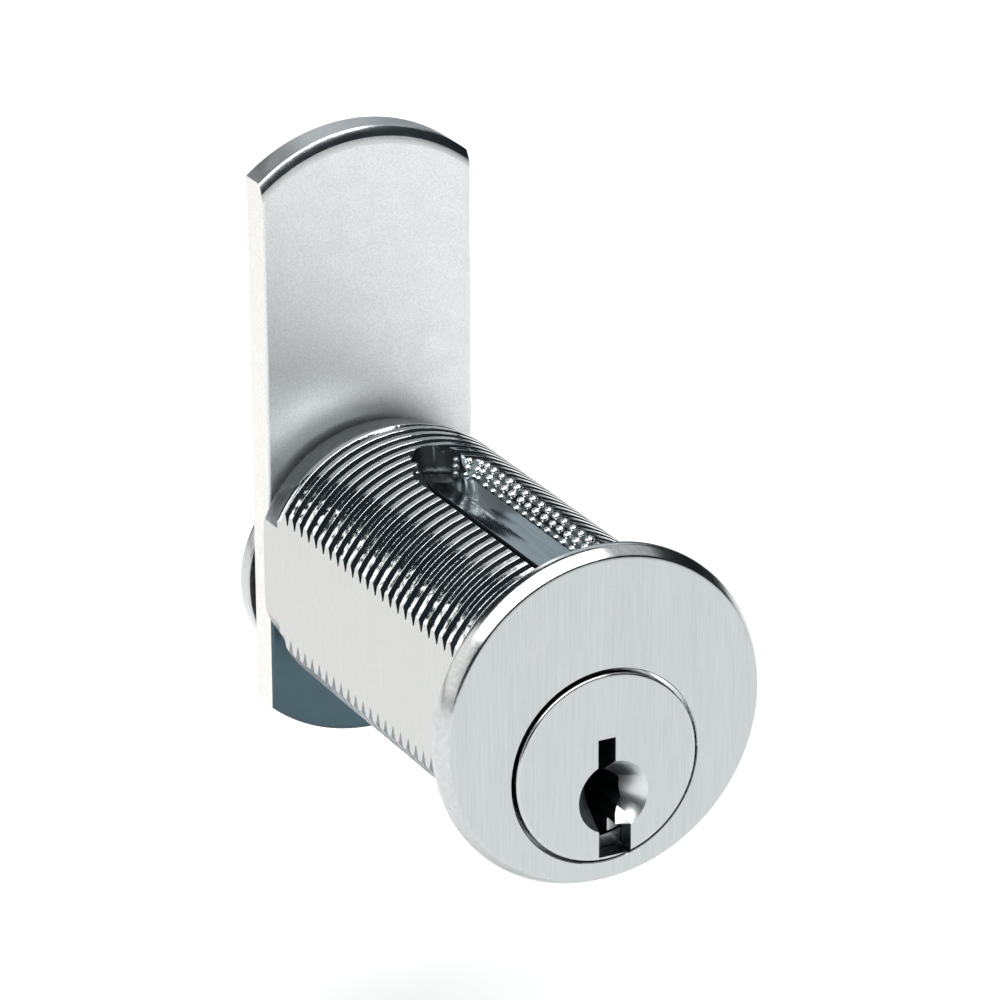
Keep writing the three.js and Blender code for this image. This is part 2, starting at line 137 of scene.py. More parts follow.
# the stumps of thread on the slope, in rows along it and round its end: (share of the way up, radius) of each
BEAD_ROWS = 17
FIRST_ROW_Y = 0.9
ROW_BEADS = ((0.22, 0.31), (0.56, 0.38), (0.9, 0.36))
END_ROW_BEARINGS = (4, 24, 43, 64)
END_ROW_BEADS = ((0.3, 0.26), (0.62, 0.3), (0.92, 0.28))

# ---- plug dimensions; the keyway's places are (x, z) from the plug's axis ----

PLUG_RADIUS = 6.0
PLUG_SHOULDER_Y = -0.4
PLUG_BODY_END = 34.5
PIN_LEDGE_Z = 0.6 + PLUG_AXIS_Z

KEYWAY_END = 24.0
UPPER_SLOT = ((-0.72, -3.0), (0.7, 2.3))
INNER_SLOT = ((-0.66, -7.1), (0.9, -4.5))
FOOT_NOTCH = ((-0.66, -7.1), (1.97, -4.9))
FOOT_NOTCH_DEPTH = 1.7
KEY_CAVITY = (
    (-0.72, -1.0), (0.7, -1.0), (1.38, -1.4), (1.97, -1.93),
    (1.97, -3.36), (1.2, -4.46), (0.9, -5.0), (-0.66, -5.3),
)
SINK_X = 0.54
SINK_DROP = 2.45
SINK_RADIUS = 2.85
SINK_DEPTH = 3.9

STEM_RADIUS = 4.0
STEM_ROOT = 3.55
STEM_PITCH = 1.0
STEM_FLAT_DISTANCE = 3.3
STEM_CLEARANCE = 0.12

# ---- dimensions of the cam and its fixings ----

CAM_TOP_RADIUS = 13.6
CAM_BOTTOM_RADIUS = 13.2
STOP_WASHER_RADIUS = 5.8
STOP_LUG_RADIUS = 8.0
STOP_LUG_SIDES = (-60, -30)
WASHER_HOLE_RADIUS = 4.3
WASHER_TOOTH_LENGTH = 0.9
NUT_FLANGE_THICKNESS = 2.1
NUT_CORNER_RADIUS = 12.7 / math.sqrt(3)
NUT_HOLE_RADIUS = 4.15
NUT_MOUTH_RADIUS = 4.9

# sides of a turned shape, and a place well behind everything, for the back ends of cutting tools
ROUND = 128
FAR = 60.0


# ---- meshes ----

def mesh_object(name, vertices, faces):
    mesh = bpy.data.meshes.new(name)
    mesh.from_pydata([tuple(map(float, v)) for v in vertices], [], faces)
    obj = bpy.data.objects.new(name, mesh)
    bpy.context.scene.collection.objects.link(obj)
    weld(obj)
    return obj


def weld(obj, distance=2e-4):
    work = bmesh.new()
    work.from_mesh(obj.data)
    bmesh.ops.remove_doubles(work, verts=work.verts, dist=distance)
    bmesh.ops.dissolve_degenerate(work, edges=work.edges, dist=distance / 4)
    bmesh.ops.recalc_face_normals(work, faces=work.faces)
    work.to_mesh(obj.data)
    work.free()


def grid_faces(rows, columns):
    """Quads over a grid of points stored row by row; columns includes the repeated last column."""
    faces = []
    for i in range(rows - 1):
        below = i * columns
        above = below + columns
        for j in range(columns - 1):
            faces.append((below + j, below + j + 1, above + j + 1, above + j))
    return faces


def ring_faces(rings, sides, first=0):
    """Quads between closed rings of points, which are stored ring by ring from point number first."""
    faces = []
    for i in range(rings - 1):
        start = first + i * sides
        for j in range(sides):
            a, b = start + j, start + (j + 1) % sides
            faces.append((a, b, b + sides, a + sides))
    return faces


def rounded(corners, steps=5):
    """A polyline whose corners (a, b, radius) are made into curves; a radius of 0 keeps the corner sharp."""
    points = []
    for k, (a, b, radius) in enumerate(corners):
        corner = Vector((a, b))
        if radius == 0 or k in (0, len(corners) - 1):
            points.append((a, b))
            continue
        before = (Vector(corners[k - 1][:2]) - corner).normalized()
        after = (Vector(corners[k + 1][:2]) - corner).normalized()
        for step in range(steps + 1):
            t = step / steps
            point = corner + before * radius * (1 - t) ** 2 + after * radius * t ** 2
            points.append((point.x, point.y))
    return points


def turned(name, profile, x=0.0, z=0.0, sides=ROUND):
    """A solid turned about an axis along Y: profile points are (radius, y), and both ends lie on the axis."""
    angles = np.linspace(0, 2 * np.pi, sides + 1)
    rings = [(x + r * math.sin(a), y, z + r * math.cos(a)) for r, y in profile for a in angles]
    return mesh_object(name, rings, grid_faces(len(profile), sides + 1))


def upright(name, profile, y, sides=64):
    """A solid turned about an upright axis: profile points are (radius, z), and both ends lie on the axis."""
    angles = np.linspace(0, 2 * np.pi, sides + 1)
    rings = [(r * math.cos(a), y + r * math.sin(a), z) for r, z in profile for a in angles]
    return mesh_object(name, rings, grid_faces(len(profile), sides + 1))


def plug_axis_rod(name, radius, front, back):
    return turned(name, [(0, front), (radius, front), (radius, back), (0, back)], z=PLUG_AXIS_Z)


def upright_rod(name, radius, low, high, y, sides=64):
    return upright(name, [(0, low), (radius, low), (radius, high), (0, high)], y, sides)


def slab(name, outline, front, back):
    """A flat outline in x and z, made solid from front back to back."""
    count = len(outline)
    vertices = [(x, y, z) for y in (front, back) for x, z in outline]
    sides = [(i, (i + 1) % count, count + (i + 1) % count, count + i) for i in range(count)]
    return mesh_object(name, vertices, [*sides, tuple(range(count)), tuple(range(count, 2 * count))])


def block(name, low, high):
    outline = [(low[0], low[2]), (high[0], low[2]), (high[0], high[2]), (low[0], high[2])]
    return slab(name, outline, low[1], high[1])


def apply_modifiers(obj):
    graph = bpy.context.evaluated_depsgraph_get()
    made = bpy.data.meshes.new_from_object(obj.evaluated_get(graph))
    obj.modifiers.clear()
    old = obj.data
    obj.data = made
    bpy.data.meshes.remove(old)


def combine(obj, tool, operation):
    """obj joined to, cut by or limited to tool, which is used up."""
    modifier = obj.modifiers.new("combine", "BOOLEAN")
    modifier.operation = operation
    modifier.solver = "MANIFOLD"
    modifier.object = tool
    apply_modifiers(obj)
    bpy.data.objects.remove(tool)
    return obj


def cut(obj, *tools):
    for tool in tools:
        combine(obj, tool, "DIFFERENCE")
    return obj


def join(obj, *tools):
    for tool in tools:
        combine(obj, tool, "UNION")
    return obj


def soften(obj, width, angle):
    """Small rounded edges wherever two faces meet at more than an angle."""
    dissolve_flat(obj)
    modifier = obj.modifiers.new("edges", "BEVEL")
    modifier.width = width
    modifier.segments = 2
    modifier.limit_method = "ANGLE"
    modifier.angle_limit = math.radians(angle)
    modifier.use_clamp_overlap = True
    apply_modifiers(obj)
    return obj


def dissolve_flat(obj, angle=0.05):
    """Flat stretches become single faces."""
    work = bmesh.new()
    work.from_mesh(obj.data)
    bmesh.ops.dissolve_limit(work, angle_limit=math.radians(angle), verts=work.verts, edges=work.edges)
    work.to_mesh(obj.data)
    work.free()


def smooth(obj, angle, square_on=0.99999):
    """Smooth shading, apart from edges sharper than an angle and flat faces that square up to an axis."""
    obj.data.shade_smooth()
    obj.data.set_sharp_from_angle(angle=math.radians(angle))
    for polygon in obj.data.polygons:
        if max(map(abs, polygon.normal)) > square_on:
            polygon.use_smooth = False


def paint(obj, materials, choose=None):
    """Gives a piece its materials. choose picks one for each face, from the face's centre and normal."""
    obj.data.materials.clear()
    for material in materials:
        obj.data.materials.append(material)
    if choose is not None:
        numbers = {material: number for number, material in enumerate(materials)}
        for polygon in obj.data.polygons:
            polygon.material_index = numbers[choose(polygon.center, polygon.normal)]


def finish_piece(obj, materials, body, nodes, smooth_angle=32, choose=None):
    """Shades and paints a piece, turns it to metres and puts it on its body in its node's place."""
    smooth(obj, smooth_angle)
    paint(obj, materials, choose)
    obj.data.transform(Matrix.Scale(MM, 4))
    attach(obj, body)
    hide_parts(*nodes)
    return obj


def around_plug(radius, degrees):
    """A point at a radius from the plug's axis, at an angle turned from straight up towards +X."""
    angle = math.radians(degrees)
    return radius * math.sin(angle), radius * math.cos(angle) + PLUG_AXIS_Z


def sector(radius, start, end, steps=24):
    rim = [around_plug(radius, start + (end - start) * i / steps) for i in range(steps + 1)]
    return [around_plug(0, 0), *rim]


# ---- materials ----

class Nodes:
    """Short names for the shader nodes that the materials use."""

    def __init__(self, name):
        self.material = bpy.data.materials.new(name)
        self.material.use_nodes = True
        self.tree = self.material.node_tree
        self.shader = self.tree.nodes["Principled BSDF"]
        self.coordinates = self.tree.nodes.new("ShaderNodeTexCoord")

    def link(self, source, target):
        self.tree.links.new(source, target)

    def stretched(self, scale):
        mapping = self.tree.nodes.new("ShaderNodeMapping")
        mapping.inputs["Scale"].default_value = scale
        self.link(self.coordinates.outputs["Object"], mapping.inputs["Vector"])
        return mapping.outputs["Vector"]

    def noise(self, scale, detail=4.0, stretch=(1, 1, 1)):
        """Noise whose features are about 1 / scale metres across, before stretching."""
        node = self.tree.nodes.new("ShaderNodeTexNoise")
        node.inputs["Scale"].default_value = scale
        node.inputs["Detail"].default_value = detail
        node.inputs["Roughness"].default_value = 0.6
        self.link(self.stretched(stretch), node.inputs["Vector"])
        return node.outputs["Fac"]

    def spread(self, value, low, high, from_low=0.3, from_high=0.7):
        """A value's range from from_low to from_high, spread over low to high."""
        node = self.tree.nodes.new("ShaderNodeMapRange")
        node.inputs["From Min"].default_value = from_low
        node.inputs["From Max"].default_value = from_high
        node.inputs["To Min"].default_value = low
        node.inputs["To Max"].default_value = high
        self.link(value, node.inputs["Value"])
        return node.outputs["Result"]

    def height(self):
        """The height in metres above the barrel's axis."""
        node = self.tree.nodes.new("ShaderNodeSeparateXYZ")
        self.link(self.coordinates.outputs["Object"], node.inputs["Vector"])
        return node.outputs["Z"]

    def mixed(self, factor, *tones):
        """A mix of two tones, each either a constant or another node's output."""
        node = self.tree.nodes.new("ShaderNodeMix")
        node.data_type = "RGBA"
        colours = [socket for socket in node.inputs if socket.type == "RGBA"]
        for socket, tone in zip(colours, tones):
            if isinstance(tone, tuple):
                socket.default_value = (*tone, 1)
            else:
                self.link(tone, socket)
        self.link(factor, node.inputs["Factor"])
        return [socket for socket in node.outputs if socket.type == "RGBA"][0]

    def bump(self, height, distance, base=None):
        """A relief of a height times a distance in metres, on top of the base relief."""
        node = self.tree.nodes.new("ShaderNodeBump")
        node.inputs["Strength"].default_value = 1.0
        node.inputs["Distance"].default_value = distance
        self.link(height, node.inputs["Height"])
        if base is not None:
            self.link(base, node.inputs["Normal"])
        return node.outputs["Normal"]


def metal(name, dark, light, rough, grain, grain_depth, stretch=(1, 1, 1), wear=None, painted_shade=None):
    """A metal whose tone and roughness vary with a grain, and whose surface has that grain's relief.
    dark and light are the two tones, rough the least and greatest roughness, grain its fineness per metre.
    The tone painted in as shade takes over between two heights, and wear is a coarser relief's fineness and
    depth."""
    nodes = Nodes(name)
    nodes.shader.inputs["Metallic"].default_value = 1.0
    fine = nodes.noise(grain, stretch=stretch)
    broad = nodes.noise(grain / 12, detail=3, stretch=stretch)
    tone = nodes.mixed(nodes.spread(fine, 0, 1), dark, light)
    # painted shade: a darker tone mixed in below a height
    if painted_shade is not None:
        tone = nodes.mixed(nodes.spread(nodes.height(), 0, 1, *painted_shade[1:]), tone, painted_shade[0])
    nodes.link(tone, nodes.shader.inputs["Base Color"])
    nodes.link(nodes.spread(broad, *rough), nodes.shader.inputs["Roughness"])
    normal = nodes.bump(fine, grain_depth)
    if wear is not None:
        normal = nodes.bump(nodes.noise(wear[0], detail=6), wear[1], base=normal)
    nodes.link(normal, nodes.shader.inputs["Normal"])
    return nodes.material


# a stretch below 1 draws the grain out along that axis, as brushing and turning do
thread_metal = metal(
    "bright_nickel", dark=(0.66, 0.7, 0.72), light=(0.74, 0.765, 0.77), rough=(0.06, 0.14),
    grain=3000, grain_depth=3e-6, wear=(4500, 7e-6),
)
face_metal = metal(
    "brushed_nickel_face", dark=(0.39, 0.412, 0.42), light=(0.45, 0.468, 0.472), rough=(0.22, 0.3),
    grain=9000, grain_depth=1e-6, stretch=(1, 1, 0.03),
)
rim_metal = metal(
    "satin_nickel_rim", dark=(0.4, 0.418, 0.422), light=(0.49, 0.498, 0.494), rough=(0.14, 0.24),
    grain=2400, grain_depth=4e-6, wear=(900, 8e-6),
)
flat_metal = metal(
    "brushed_nickel_flat", dark=(0.435, 0.44, 0.43), light=(0.455, 0.458, 0.446), rough=(0.26, 0.3),
    grain=12000, grain_depth=3e-7, stretch=(1, 0.8, 0.1),
)
# painted shade: a darker copy of the barrel's nickel, for the neck, the threads low down and the end hole
shaded_nickel = metal(
    "nickel_painted_shade", dark=(0.17, 0.19, 0.2), light=(0.25, 0.27, 0.28), rough=(0.22, 0.34),
    grain=2400, grain_depth=4e-6,
)
# painted shade: near-black metal for the hollows, the keyway, the plug behind its face and the slope beside
# the slot
shade_dark_metal = metal(
    "inside_painted_shade", dark=(0.055, 0.07, 0.08), light=(0.11, 0.13, 0.14), rough=(0.35, 0.5),
    grain=2500, grain_depth=3e-6,
)
# painted light: the countersink's right half, lighter than the plug's face; its left half has painted shade
countersink_lit_metal = metal(
    "countersink_painted_light", dark=(0.48, 0.51, 0.52), light=(0.57, 0.59, 0.6), rough=(0.28, 0.36),
    grain=5000, grain_depth=2e-6, stretch=(0.2, 4, 0.2),
)
cover_metal = metal(
    "satin_strip", dark=(0.17, 0.215, 0.235), light=(0.23, 0.28, 0.305), rough=(0.1, 0.16),
    grain=3500, grain_depth=1e-6, stretch=(1, 0.06, 1),
)
cam_metal = metal(
    "tumbled_nickel_steel", dark=(0.4, 0.43, 0.445), light=(0.53, 0.555, 0.565), rough=(0.4, 0.48),
    grain=7500, grain_depth=6e-6,
)
# painted shade: the cam's front turns dark low down, below the barrel's axis, standing for the shadowed floor
# it reflects there
cam_front_metal = metal(
    "tumbled_nickel_steel_front", dark=(0.58, 0.595, 0.6), light=(0.76, 0.77, 0.765), rough=(0.4, 0.48),
    grain=7500, grain_depth=6e-6, painted_shade=((0.07, 0.11, 0.13), -0.003, -0.0045),
)
cam_edge_metal = metal(
    "sheared_nickel_steel", dark=(0.58, 0.565, 0.535), light=(0.7, 0.685, 0.655), rough=(0.26, 0.36),
    grain=6000, grain_depth=5e-6,
)
cam_roll_metal = metal(
    "rolled_nickel_steel", dark=(0.38, 0.42, 0.445), light=(0.46, 0.5, 0.52), rough=(0.17, 0.24),
    grain=4000, grain_depth=4e-6, wear=(2500, 8e-6),
)
fixing_metal = metal(
    "plated_steel", dark=(0.4, 0.41, 0.42), light=(0.49, 0.5, 0.505), rough=(0.18, 0.28),
    grain=3000, grain_depth=3e-6,
)
brass = metal(
    "turned_brass", dark=(0.66, 0.48, 0.2), light=(0.8, 0.62, 0.3), rough=(0.2, 0.3),
    grain=4000, grain_depth=2e-6, stretch=(1, 1, 6),
)
spring_steel = metal(
    "spring_wire", dark=(0.5, 0.51, 0.52), light=(0.62, 0.63, 0.64), rough=(0.18, 0.28),
    grain=5000, grain_depth=1.5e-6,
)


# ---- threads ----

# a thread's rising flank, from its rounded root to its flat crest: (share of the pitch, share of the depth)
RISING_FLANK = (
    (0.02, 0.012), (0.045, 0.06), (0.07, 0.15),
    (0.25, 0.837), (0.272, 0.921), (0.29, 0.989), (0.298, 1.0), (0.316, 1.0),
)
FALLING_FLANK = tuple((1 - place, depth) for place, depth in reversed(RISING_FLANK))
THREAD_SHAPE = ((0.0, 0.0), *RISING_FLANK, (0.5, 1.0), *FALLING_FLANK)

# wear of the thread in millimetres, and how fine it is, in features per millimetre
COARSE_WEAR = 0.04
COARSE_FINENESS = 1.1
FINE_WEAR = 0.05
FINE_FINENESS = 2.7


def ease(t):
    """Goes smoothly from 0 to 1 as t does, and stays there."""
    t = np.clip(t, 0, 1)
    return t * t * (3 - 2 * t)


def roughness_at(points, fineness):
    """Smooth noise from about -1 to 1 at each point, with features 1 / fineness millimetres across."""
    return np.array([noise.noise(Vector(point) * fineness) for point in points])


def plain_rings(profile, columns):
    """The radii and the places along Y of rings with (radius, y), repeated for every column."""
    return np.repeat(np.array(profile, float).T[:, :, None], columns, axis=2)


def threaded(name, root, crest, pitch, start, end, before, after, columns, z=0.0, fade=(0.5, 1.6), worn=None):
    """A right-handed screw thread about an axis along Y, fading in and out over the fade lengths.
    before and after are the (radius, y) rings that carry on from the thread's two ends.
    worn takes the angles round the thread and gives how rough it is there, from 0 to 1."""
    samples = len(THREAD_SHAPE)
    turns = math.ceil((end - start) / pitch) + 2
    row = np.arange(turns * samples)[:, None]
    angle = np.linspace(0, 2 * np.pi, columns + 1)[None, :]
    place = np.array([u for u, _ in THREAD_SHAPE])[row % samples]
    depth = np.array([d for _, d in THREAD_SHAPE])[row % samples]
    y = np.clip(start + pitch * (row // samples + place - 1 + angle / (2 * np.pi)), start, end)
    strength = ease((y - start) / fade[0]) * ease((end - y) / fade[1])
    if worn is None:
        radius = root + strength * (crest - root) * depth
    else:
        across, up = crest * np.sin(angle) + 0 * y, crest * np.cos(angle) + 0 * y
        spots = np.stack([across, y, up], axis=2).reshape(-1, 3)
        coarse = roughness_at(spots, COARSE_FINENESS).reshape(y.shape)
        fine = roughness_at(spots, FINE_FINENESS).reshape(y.shape)
        relief = worn(angle) * (FINE_WEAR * np.abs(fine) + COARSE_WEAR * np.abs(coarse))
        radius = root + strength * (crest - root - relief) * depth
    radii_before, places_before = plain_rings(before, columns + 1)
    radii_after, places_after = plain_rings(after, columns + 1)
    radii = np.vstack([radii_before, radius, radii_after])
    places = np.vstack([places_before, y, places_after])
    points = np.stack([radii * np.sin(angle), places, z + radii * np.cos(angle)], axis=2).reshape(-1, 3)
    return mesh_object(name, points, grid_faces(len(radii), columns + 1))


# ---- barrel ----

def cover_slot():
    """The slot over the pin chambers: sloping sides with a round rear end, then a groove for the cover."""
    half, groove, top = SLOT_HALF_WIDTH, GROOVE_HALF_WIDTH, BARREL_RADIUS + 1
    section = [
        (-half, top), (-half, SLOT_LIP_Z), (-groove, SLOT_SHOULDER_Z), (-groove, SLOT_FLOOR_Z),
        (groove, SLOT_FLOOR_Z), (groove, SLOT_SHOULDER_Z), (half, SLOT_LIP_Z), (half, top),
    ]
    channel = slab("channel", section, -0.2, SLOPE_END_Y)
    end = [(0, SLOT_FLOOR_Z), (groove, SLOT_FLOOR_Z), (groove, SLOT_SHOULDER_Z)]
    end += [(half, SLOT_LIP_Z), (half, top), (0, top)]
    join(channel, upright("round_end", end, SLOPE_END_Y))
    groove_low, groove_high = (-groove, SLOPE_END_Y, SLOT_FLOOR_Z), (groove, SLOT_END_Y, top)
    join(channel, block("groove", groove_low, groove_high))
    return join(channel, upright_rod("end_hole", END_HOLE_RADIUS, SLOT_FLOOR_Z, top, SLOT_END_Y))


def worn_places(angle):
    """How rough the thread is round the barrel: a little beside the slot and most beside the flats."""
    from_top = np.degrees(np.abs((angle + np.pi) % (2 * np.pi) - np.pi))
    from_upright = np.minimum(from_top, 180 - from_top)
    slot_side, slot_fade, slot_share = 17, 12, 0.5
    flat_side, flat_fade = 41, 8
    beside_slot = slot_share * (1 - ease((from_top - slot_side) / slot_fade))
    beside_flat = ease((from_upright - flat_side) / flat_fade)
    return np.clip(beside_slot + beside_flat, 0.1, 1)


def bead_places():
    """The middle and radius of each stump of thread on the slot's right slope, in a slanting row per turn."""
    scatter = random.Random(11)
    slant, lift = 0.5, 0.02
    outward = Vector((-SLOPE_RUN_Z, 0, SLOPE_RUN_X)) / SLOPE_LENGTH
    beads = []
    for row in range(BEAD_ROWS):
        for share, size in ROW_BEADS:
            x = GROOVE_HALF_WIDTH + SLOPE_RUN_X * share
            z = SLOT_SHOULDER_Z + SLOPE_RUN_Z * share
            helix = math.asin(x / BARREL_RADIUS) / (2 * math.pi) * THREAD_PITCH
            y = FIRST_ROW_Y + THREAD_PITCH * row + helix + slant * share + scatter.uniform(-0.08, 0.08)
            beads.append((Vector((x, y, z)) + outward * lift, size * scatter.uniform(0.8, 1.1)))
    for degrees in END_ROW_BEARINGS:
        bearing = math.radians(degrees + scatter.uniform(-4, 4))
        for share, size in END_ROW_BEADS:
            reach = GROOVE_HALF_WIDTH + SLOPE_RUN_X * share
            x, y = reach * math.cos(bearing), SLOPE_END_Y + reach * math.sin(bearing)
            z = SLOT_SHOULDER_Z + SLOPE_RUN_Z * share
            beads.append((Vector((x, y, z)), size * scatter.uniform(0.8, 1.1)))
    return beads


def slope_beads(steps=7, sides=12):
    """The stumps of thread: balls that are a little long in Y and low in Z."""
    long, low = 1.15, 0.9
    vertices, faces = [], []
    for centre, radius in bead_places():
        faces += ring_faces(steps + 1, sides, first=len(vertices))
        for i in range(steps + 1):
            tilt = math.pi * i / steps
            for j in range(sides):
                turn = 2 * math.pi * j / sides
                x, y = math.sin(tilt) * math.cos(turn), long * math.sin(tilt) * math.sin(turn)
                vertices.append(centre + Vector((x, y, low * math.cos(tilt))) * radius)
    return mesh_object("beads", vertices, faces)


def flange():
    face, rim = FLANGE_FACE_RADIUS, FLANGE_RADIUS
    profile = rounded([
        (0, FACE_Y, 0),
        (face, FACE_Y, 0.22),
        (rim, FACE_Y + FLANGE_TAPER, 0.3),
        (rim, 0, 0.08),
        (0, 0, 0),
    ])
    return turned("flange", profile, sides=256)


def pin_places():
    """How far back each pin stands."""
    boxes = [node_box(f"driver_pin_{i + 1}") for i in range(PIN_COUNT)]
    return [(low.y + high.y) / 2 for low, high in boxes]


def cylinder_shell():
    edge, bevel = 0.4, 0.12
    body = threaded(
        "cylinder_shell_cast", THREAD_ROOT, BARREL_RADIUS, THREAD_PITCH, THREAD_START, THREAD_END,
        before=[(0, -0.4), (THREAD_ROOT, -0.4)],
        after=[
            (NECK_RADIUS, THREAD_END + 0.05), (NECK_RADIUS, BARREL_END - edge),
            (NECK_RADIUS - bevel, BARREL_END - bevel), (NECK_RADIUS - edge, BARREL_END), (0, BARREL_END),
        ],
        columns=THREAD_COLUMNS,
        worn=worn_places,
    )
    reach = BARREL_RADIUS + 2
    cut(body, block("left", (-reach, -2, -reach), (-FLAT_DISTANCE, FAR, reach)))
    cut(body, block("right", (FLAT_DISTANCE, -2, -reach), (reach, FAR, reach)))
    cut(body, cover_slot())
    join(body, slope_beads(), flange())
    mouth = [(0, FACE_Y - 1), (HEAD_HOLE_RADIUS + 1.05, FACE_Y - 1), (HEAD_HOLE_RADIUS, FACE_Y + 0.06)]
    mouth += [(HEAD_HOLE_RADIUS, HEAD_SEAT_Y), (BORE_RADIUS, HEAD_SEAT_Y), (BORE_RADIUS, FAR), (0, FAR)]
    cut(body, turned("bore", mouth, z=PLUG_AXIS_Z))
    hole_top, pin_hole_floor = SLOT_FLOOR_Z + 0.3, cover_pin_low.z - 0.08
    for y in pin_places():
        cut(body, upright_rod("chamber", PIN_HOLE_RADIUS, 0, hole_top, y, sides=48))
    cut(body, upright_rod("hole", COVER_PIN_HOLE_RADIUS, pin_hole_floor, hole_top, SLOT_END_Y))
    pocket = sector(POCKET_RADIUS, -POCKET_HALF_ANGLE, POCKET_HALF_ANGLE)
    cut(body, slab("pocket", pocket, POCKET_FRONT, FAR))
    return body


SHELL_METALS = [thread_metal, face_metal, flat_metal, shade_dark_metal, rim_metal, shaded_nickel]


def shell_finish_and_painted_shade(centre, normal):
    """The finish that a face's place on the casting calls for, with painted shade on the neck, the threads
    low down, the hollows, the end hole and the slope beside the slot.
    """
    off_plug = math.hypot(centre.x, centre.z - PLUG_AXIS_Z)
    off_axis = math.hypot(centre.x, centre.z)
    off_end_hole = math.hypot(centre.x, centre.y - SLOT_END_Y)
    in_length = HEAD_SEAT_Y < centre.y < BARREL_END - 0.05
    in_slot = abs(centre.x) < SLOT_HALF_WIDTH and centre.y < SLOT_END_Y and centre.z > SLOT_SHOULDER_Z
    on_face = normal.y < -0.95 and centre.y < FACE_Y + 0.02
    on_flange = centre.y < 0.01 and off_axis > BARREL_RADIUS + 0.1
    on_flat = abs(normal.x) > 0.99 and abs(centre.x) > FLAT_DISTANCE - 0.05
    in_hollow = off_plug < POCKET_RADIUS and in_length and centre.z < SLOT_FLOOR_Z
    in_end_hole = off_end_hole < END_HOLE_RADIUS + 0.05 and centre.z > 0
    on_slope = in_slot and abs(normal.z - SLOPE_RUN_X / SLOPE_LENGTH) < 0.01
    in_painted_shade = centre.y > THREAD_END or centre.z < LOWER_THREAD_Z
    if on_face:
        return face_metal
    if on_flange:
        return rim_metal
    if on_flat:
        return flat_metal
    # painted shade deep in the hollows
    if in_hollow:
        return shade_dark_metal if off_axis < NECK_RADIUS - 0.6 else thread_metal
    # painted shade in the end hole
    if in_end_hole:
        return shaded_nickel
    # painted shade on the slope between the thread stumps
    if on_slope:
        return shade_dark_metal
    # painted shade on the neck and on the threads low down
    return shaded_nickel if in_painted_shade else thread_metal


# ---- cover strip and its pin ----

def chamber_cover():
    """The strip over the pin chambers, pressed into a shallow valley and cut round the end hole."""
    half = cover_high.x
    edge_z, middle_z = cover_high.z, cover_high.z - COVER_VALLEY
    section = [(-half, cover_low.z), (half, cover_low.z), (half, edge_z)]
    section += [(0, middle_z), (-half, edge_z)]
    strip = slab("chamber_cover_strip", section, cover_low.y, cover_high.y)
    cut(strip, upright_rod("notch", COVER_NOTCH_RADIUS, SLOT_FLOOR_Z - 1, cover_high.z + 1, SLOT_END_Y))
    return soften(strip, width=0.06, angle=12)


def cover_pin():
    low, high = cover_pin_low.z, cover_pin_high.z
    radius = cover_pin_high.x
    profile = rounded([(0, low, 0), (radius, low, 0.2), (radius, high, 0.25), (0, high, 0)])
    return upright("cover_pin_turned", profile, SLOT_END_Y)


# ---- plug ----

def stem_outline(clearance=0.0, steps=10):
    radius, flat = STEM_RADIUS + clearance, STEM_FLAT_DISTANCE + clearance
    corner = math.degrees(math.atan2(math.sqrt(radius ** 2 - flat ** 2), flat))
    points = []
    for side in range(4):
        start, end = 90 * side + corner, 90 * side + 90 - corner
        points += [around_plug(radius, start + (end - start) * i / steps) for i in range(steps + 1)]
    return points


def stem():
    body = threaded(
        "stem", STEM_ROOT, STEM_RADIUS, STEM_PITCH, PLUG_BODY_END, STEM_END - 0.3,
        before=[(0, PLUG_BODY_END - 1), (STEM_ROOT, PLUG_BODY_END - 1)],
        after=[(STEM_RADIUS - 0.5, STEM_END - 0.1), (STEM_RADIUS - 0.7, STEM_END), (0, STEM_END)],
        columns=96, z=PLUG_AXIS_Z, fade=(0.5, 0.8),
    )
    wide = 9
    beyond_flat = [(STEM_FLAT_DISTANCE, -wide), (wide, -wide), (wide, wide), (STEM_FLAT_DISTANCE, wide)]
    for side in range(4):
        turn = math.radians(90 * side)
        outline = [
            (a * math.cos(turn) - b * math.sin(turn), a * math.sin(turn) + b * math.cos(turn) + PLUG_AXIS_Z)
            for a, b in beyond_flat
        ]
        cut(body, slab("flat", outline, PLUG_BODY_END - 2, FAR))
    return body


def keyway():
    """The key's hole: a slot, a wider cavity below it, a countersink round that and a notch at its foot."""
    front = PLUG_FACE_Y - 1

    def opening(name, corners, back):
        (left, bottom), (right, top) = corners
        return block(name, (left, front, PLUG_AXIS_Z + bottom), (right, back, PLUG_AXIS_Z + top))

    cavity = [(x, PLUG_AXIS_Z + z) for x, z in KEY_CAVITY]
    sink_slope = SINK_RADIUS / SINK_DEPTH
    sink = [(0, front), (SINK_RADIUS + sink_slope, front), (0, PLUG_FACE_Y + SINK_DEPTH)]
    return join(
        opening("upper", UPPER_SLOT, KEYWAY_END),
        slab("cavity", cavity, front, KEYWAY_END),
        opening("inner", INNER_SLOT, KEYWAY_END),
        opening("foot", FOOT_NOTCH, PLUG_FACE_Y + FOOT_NOTCH_DEPTH),
        turned("sink", sink, SINK_X, PLUG_AXIS_Z - SINK_DROP, sides=96),
    )


def plug():
    head = PLUG_HEAD_RADIUS
    profile = rounded([
        (0, PLUG_FACE_Y, 0),
        (head, PLUG_FACE_Y, 0.24),
        (head, PLUG_SHOULDER_Y, 0.05),
        (PLUG_RADIUS, PLUG_SHOULDER_Y, 0),
        (PLUG_RADIUS, PLUG_BODY_END, 0.2),
        (0, PLUG_BODY_END, 0),
    ])
    body = turned("plug_turned", profile, z=PLUG_AXIS_Z)
    cut(body, keyway())
    soften(body, width=0.04, angle=50)
    hole_top = PLUG_AXIS_Z + PLUG_RADIUS + 1
    for y in pin_places():
        cut(body, upright_rod("pin_hole", PIN_HOLE_RADIUS, PIN_LEDGE_Z, hole_top, y, sides=48))
    return join(body, stem())


PLUG_METALS = [face_metal, shade_dark_metal, countersink_lit_metal, rim_metal]


